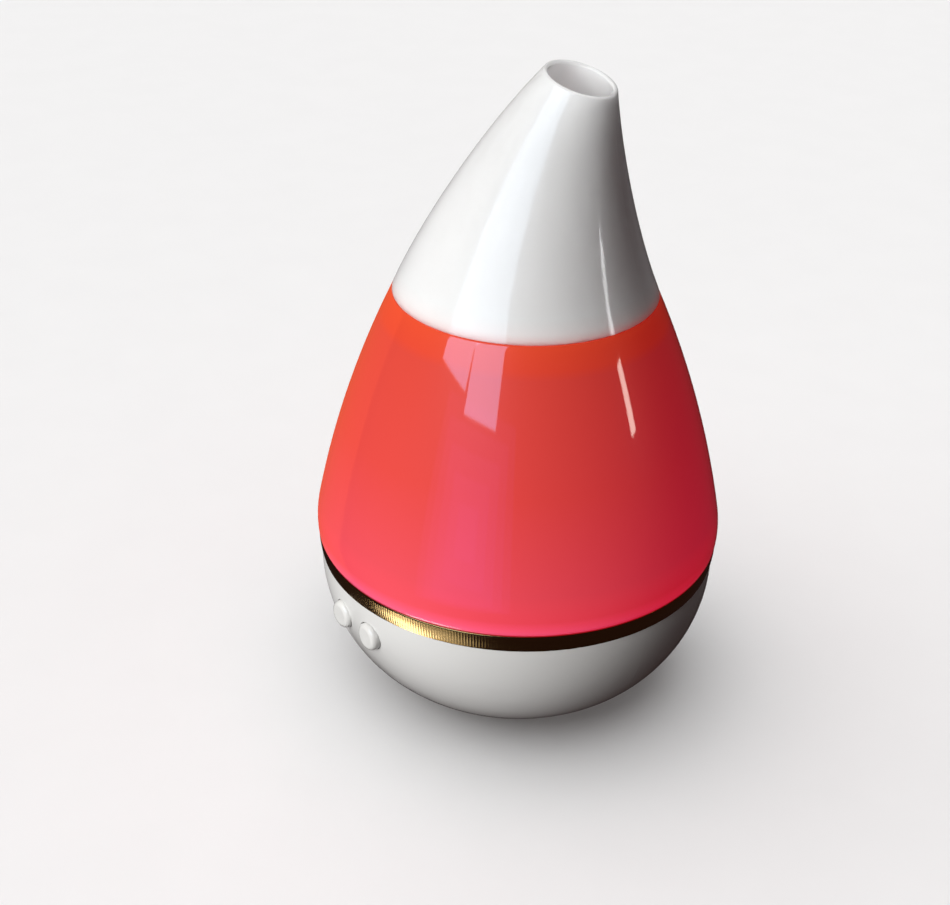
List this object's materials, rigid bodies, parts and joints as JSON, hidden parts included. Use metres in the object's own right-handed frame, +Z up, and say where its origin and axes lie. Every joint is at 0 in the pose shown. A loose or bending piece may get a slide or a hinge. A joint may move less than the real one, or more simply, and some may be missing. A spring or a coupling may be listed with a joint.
{
  "type": "cool mist humidifier",
  "caption": "Teardrop ultrasonic cool mist humidifier: lift-off glowing cover with a turning bent nozzle, inner water tank, and a base with fan, drive board and push buttons.",
  "frame": {"origin": "on the surface that the foot pads stand on, under the upright centre line of the bowl", "axes": "+Z up; -Y front, where the two buttons are; +Y back, where the power socket is; the fan is on the +X side"},
  "size_m": [0.106, 0.106, 0.1674],
  "materials": {
    "white_shell": "glossy moulded white plastic",
    "white_nozzle": "glossy moulded white plastic",
    "glow_shell": "translucent gloss shell, lit red from inside",
    "brass_trim": "brass-coloured metallised plastic with a fine vertical texture",
    "foot_rubber": "matt",
    "screw_steel": "zinc plated",
    "silicone": "translucent white silicone",
    "frosted_tank": "frosted translucent plastic",
    "transducer_plate": "polished stainless face",
    "electrode": "silvered",
    "inner_plastic": "moulded",
    "board_green": "solder mask",
    "led_lens": "clear lens",
    "black_plastic": "moulded",
    "bush_bronze": "sintered bronze",
    "copper_winding": "enamelled copper wire",
    "heat_sink_metal": "extruded",
    "capacitor_sleeve": "heat-shrunk sleeve",
    "header_nylon": "nylon",
    "lead_jacket": "PVC",
    "button_plastic": "glossy moulded white plastic",
    "magnet": "sintered ferrite"
  },
  "bodies": {
    "base": {"base_bowl": "white_shell", "foot_pads": "foot_rubber", "base_screws": "screw_steel", "trim_ring": "brass_trim", "tank_gasket": "silicone", "mist_basin": "frosted_tank", "tank_cup": "frosted_tank", "air_chimney": "frosted_tank", "chimney_hood": "frosted_tank", "transducer_seal": "silicone", "transducer_disc": "transducer_plate", "transducer_electrode": "electrode", "transducer_clamp": "inner_plastic", "clamp_screws": "screw_steel", "led_board": "board_green", "leds": "led_lens", "led_screws": "screw_steel", "fan_frame": "black_plastic", "fan_bush": "bush_bronze", "fan_stator": "copper_winding", "fan_duct": "inner_plastic", "fan_screws": "screw_steel", "driver_board": "board_green", "board_screws": "screw_steel", "heat_sink": "heat_sink_metal", "power_transistor": "black_plastic", "inductors": "copper_winding", "capacitors": "capacitor_sleeve", "controller_chip": "black_plastic", "wire_headers": "header_nylon", "button_board": "board_green", "tact_switches": "black_plastic", "button_board_screws": "screw_steel", "dc_jack": "black_plastic", "jack_pin": "screw_steel", "jack_lead": "lead_jacket", "button_lead": "lead_jacket", "fan_lead": "lead_jacket", "led_lead": "lead_jacket", "transducer_lead": "lead_jacket"},
    "mist_button": {"mist_button": "button_plastic", "mist_switch_plunger": "black_plastic"},
    "light_button": {"light_button": "button_plastic", "light_switch_plunger": "black_plastic"},
    "fan_wheel": {"fan_rotor": "black_plastic", "fan_shaft": "screw_steel", "fan_magnet": "magnet"},
    "cover": {"diffuser_shell": "glow_shell"},
    "nozzle": {"nozzle_cap": "white_nozzle"}
  },
  "joints": [
    {"name": "cover_lift", "type": "slide", "parent": "base", "child": "cover", "axis": [0, 0, 1], "range_m": [0, 0.08]},
    {"name": "nozzle_turn", "type": "hinge", "parent": "cover", "child": "nozzle", "pos_m": [0, 0, 0.108], "axis": [0, 0, 1], "continuous": true},
    {"name": "mist_press", "type": "slide", "parent": "base", "child": "mist_button", "axis": [0, 1, 0], "range_m": [0, 0.0008], "stiffness_N_per_m": 800, "springref_m": -0.001},
    {"name": "light_press", "type": "slide", "parent": "base", "child": "light_button", "axis": [0, 1, 0], "range_m": [0, 0.0008], "stiffness_N_per_m": 800, "springref_m": -0.001},
    {"name": "fan_spin", "type": "hinge", "parent": "base", "child": "fan_wheel", "pos_m": [0.02, 0, 0.01], "axis": [0, 0, 1], "continuous": true}
  ]
}
